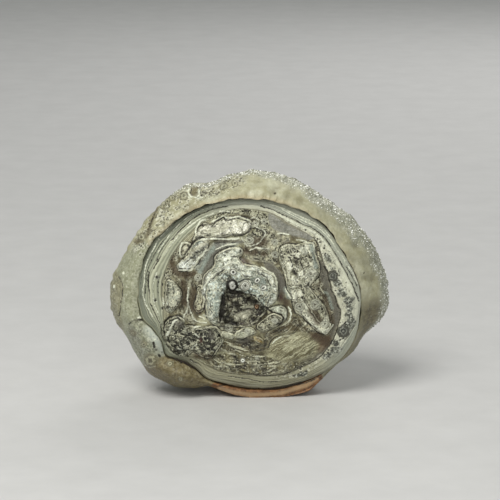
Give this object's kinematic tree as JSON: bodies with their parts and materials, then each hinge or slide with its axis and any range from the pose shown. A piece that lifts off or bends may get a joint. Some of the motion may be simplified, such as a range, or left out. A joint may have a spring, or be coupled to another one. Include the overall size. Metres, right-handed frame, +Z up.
{
  "type": "chalcedony rose",
  "caption": "Rounded nodule of banded chalcedony with a rolled crystal rim round a patterned face and ruffled petals behind, which stands on a small flat spot.",
  "frame": {"origin": "middle of the underside, on the plane of the flat spot that the stone stands on", "axes": "+Z up; the banded face looks along -Y and the ruffled back along +Y; +X is to the right of someone who looks at the face"},
  "size_m": [0.05, 0.025, 0.0405],
  "materials": {
    "chalcedony": "waxy to satin, with a sugary crystal crust on the rim"
  },
  "bodies": {
    "root": {"chalcedony_rose": "chalcedony"}
  },
  "joints": []
}
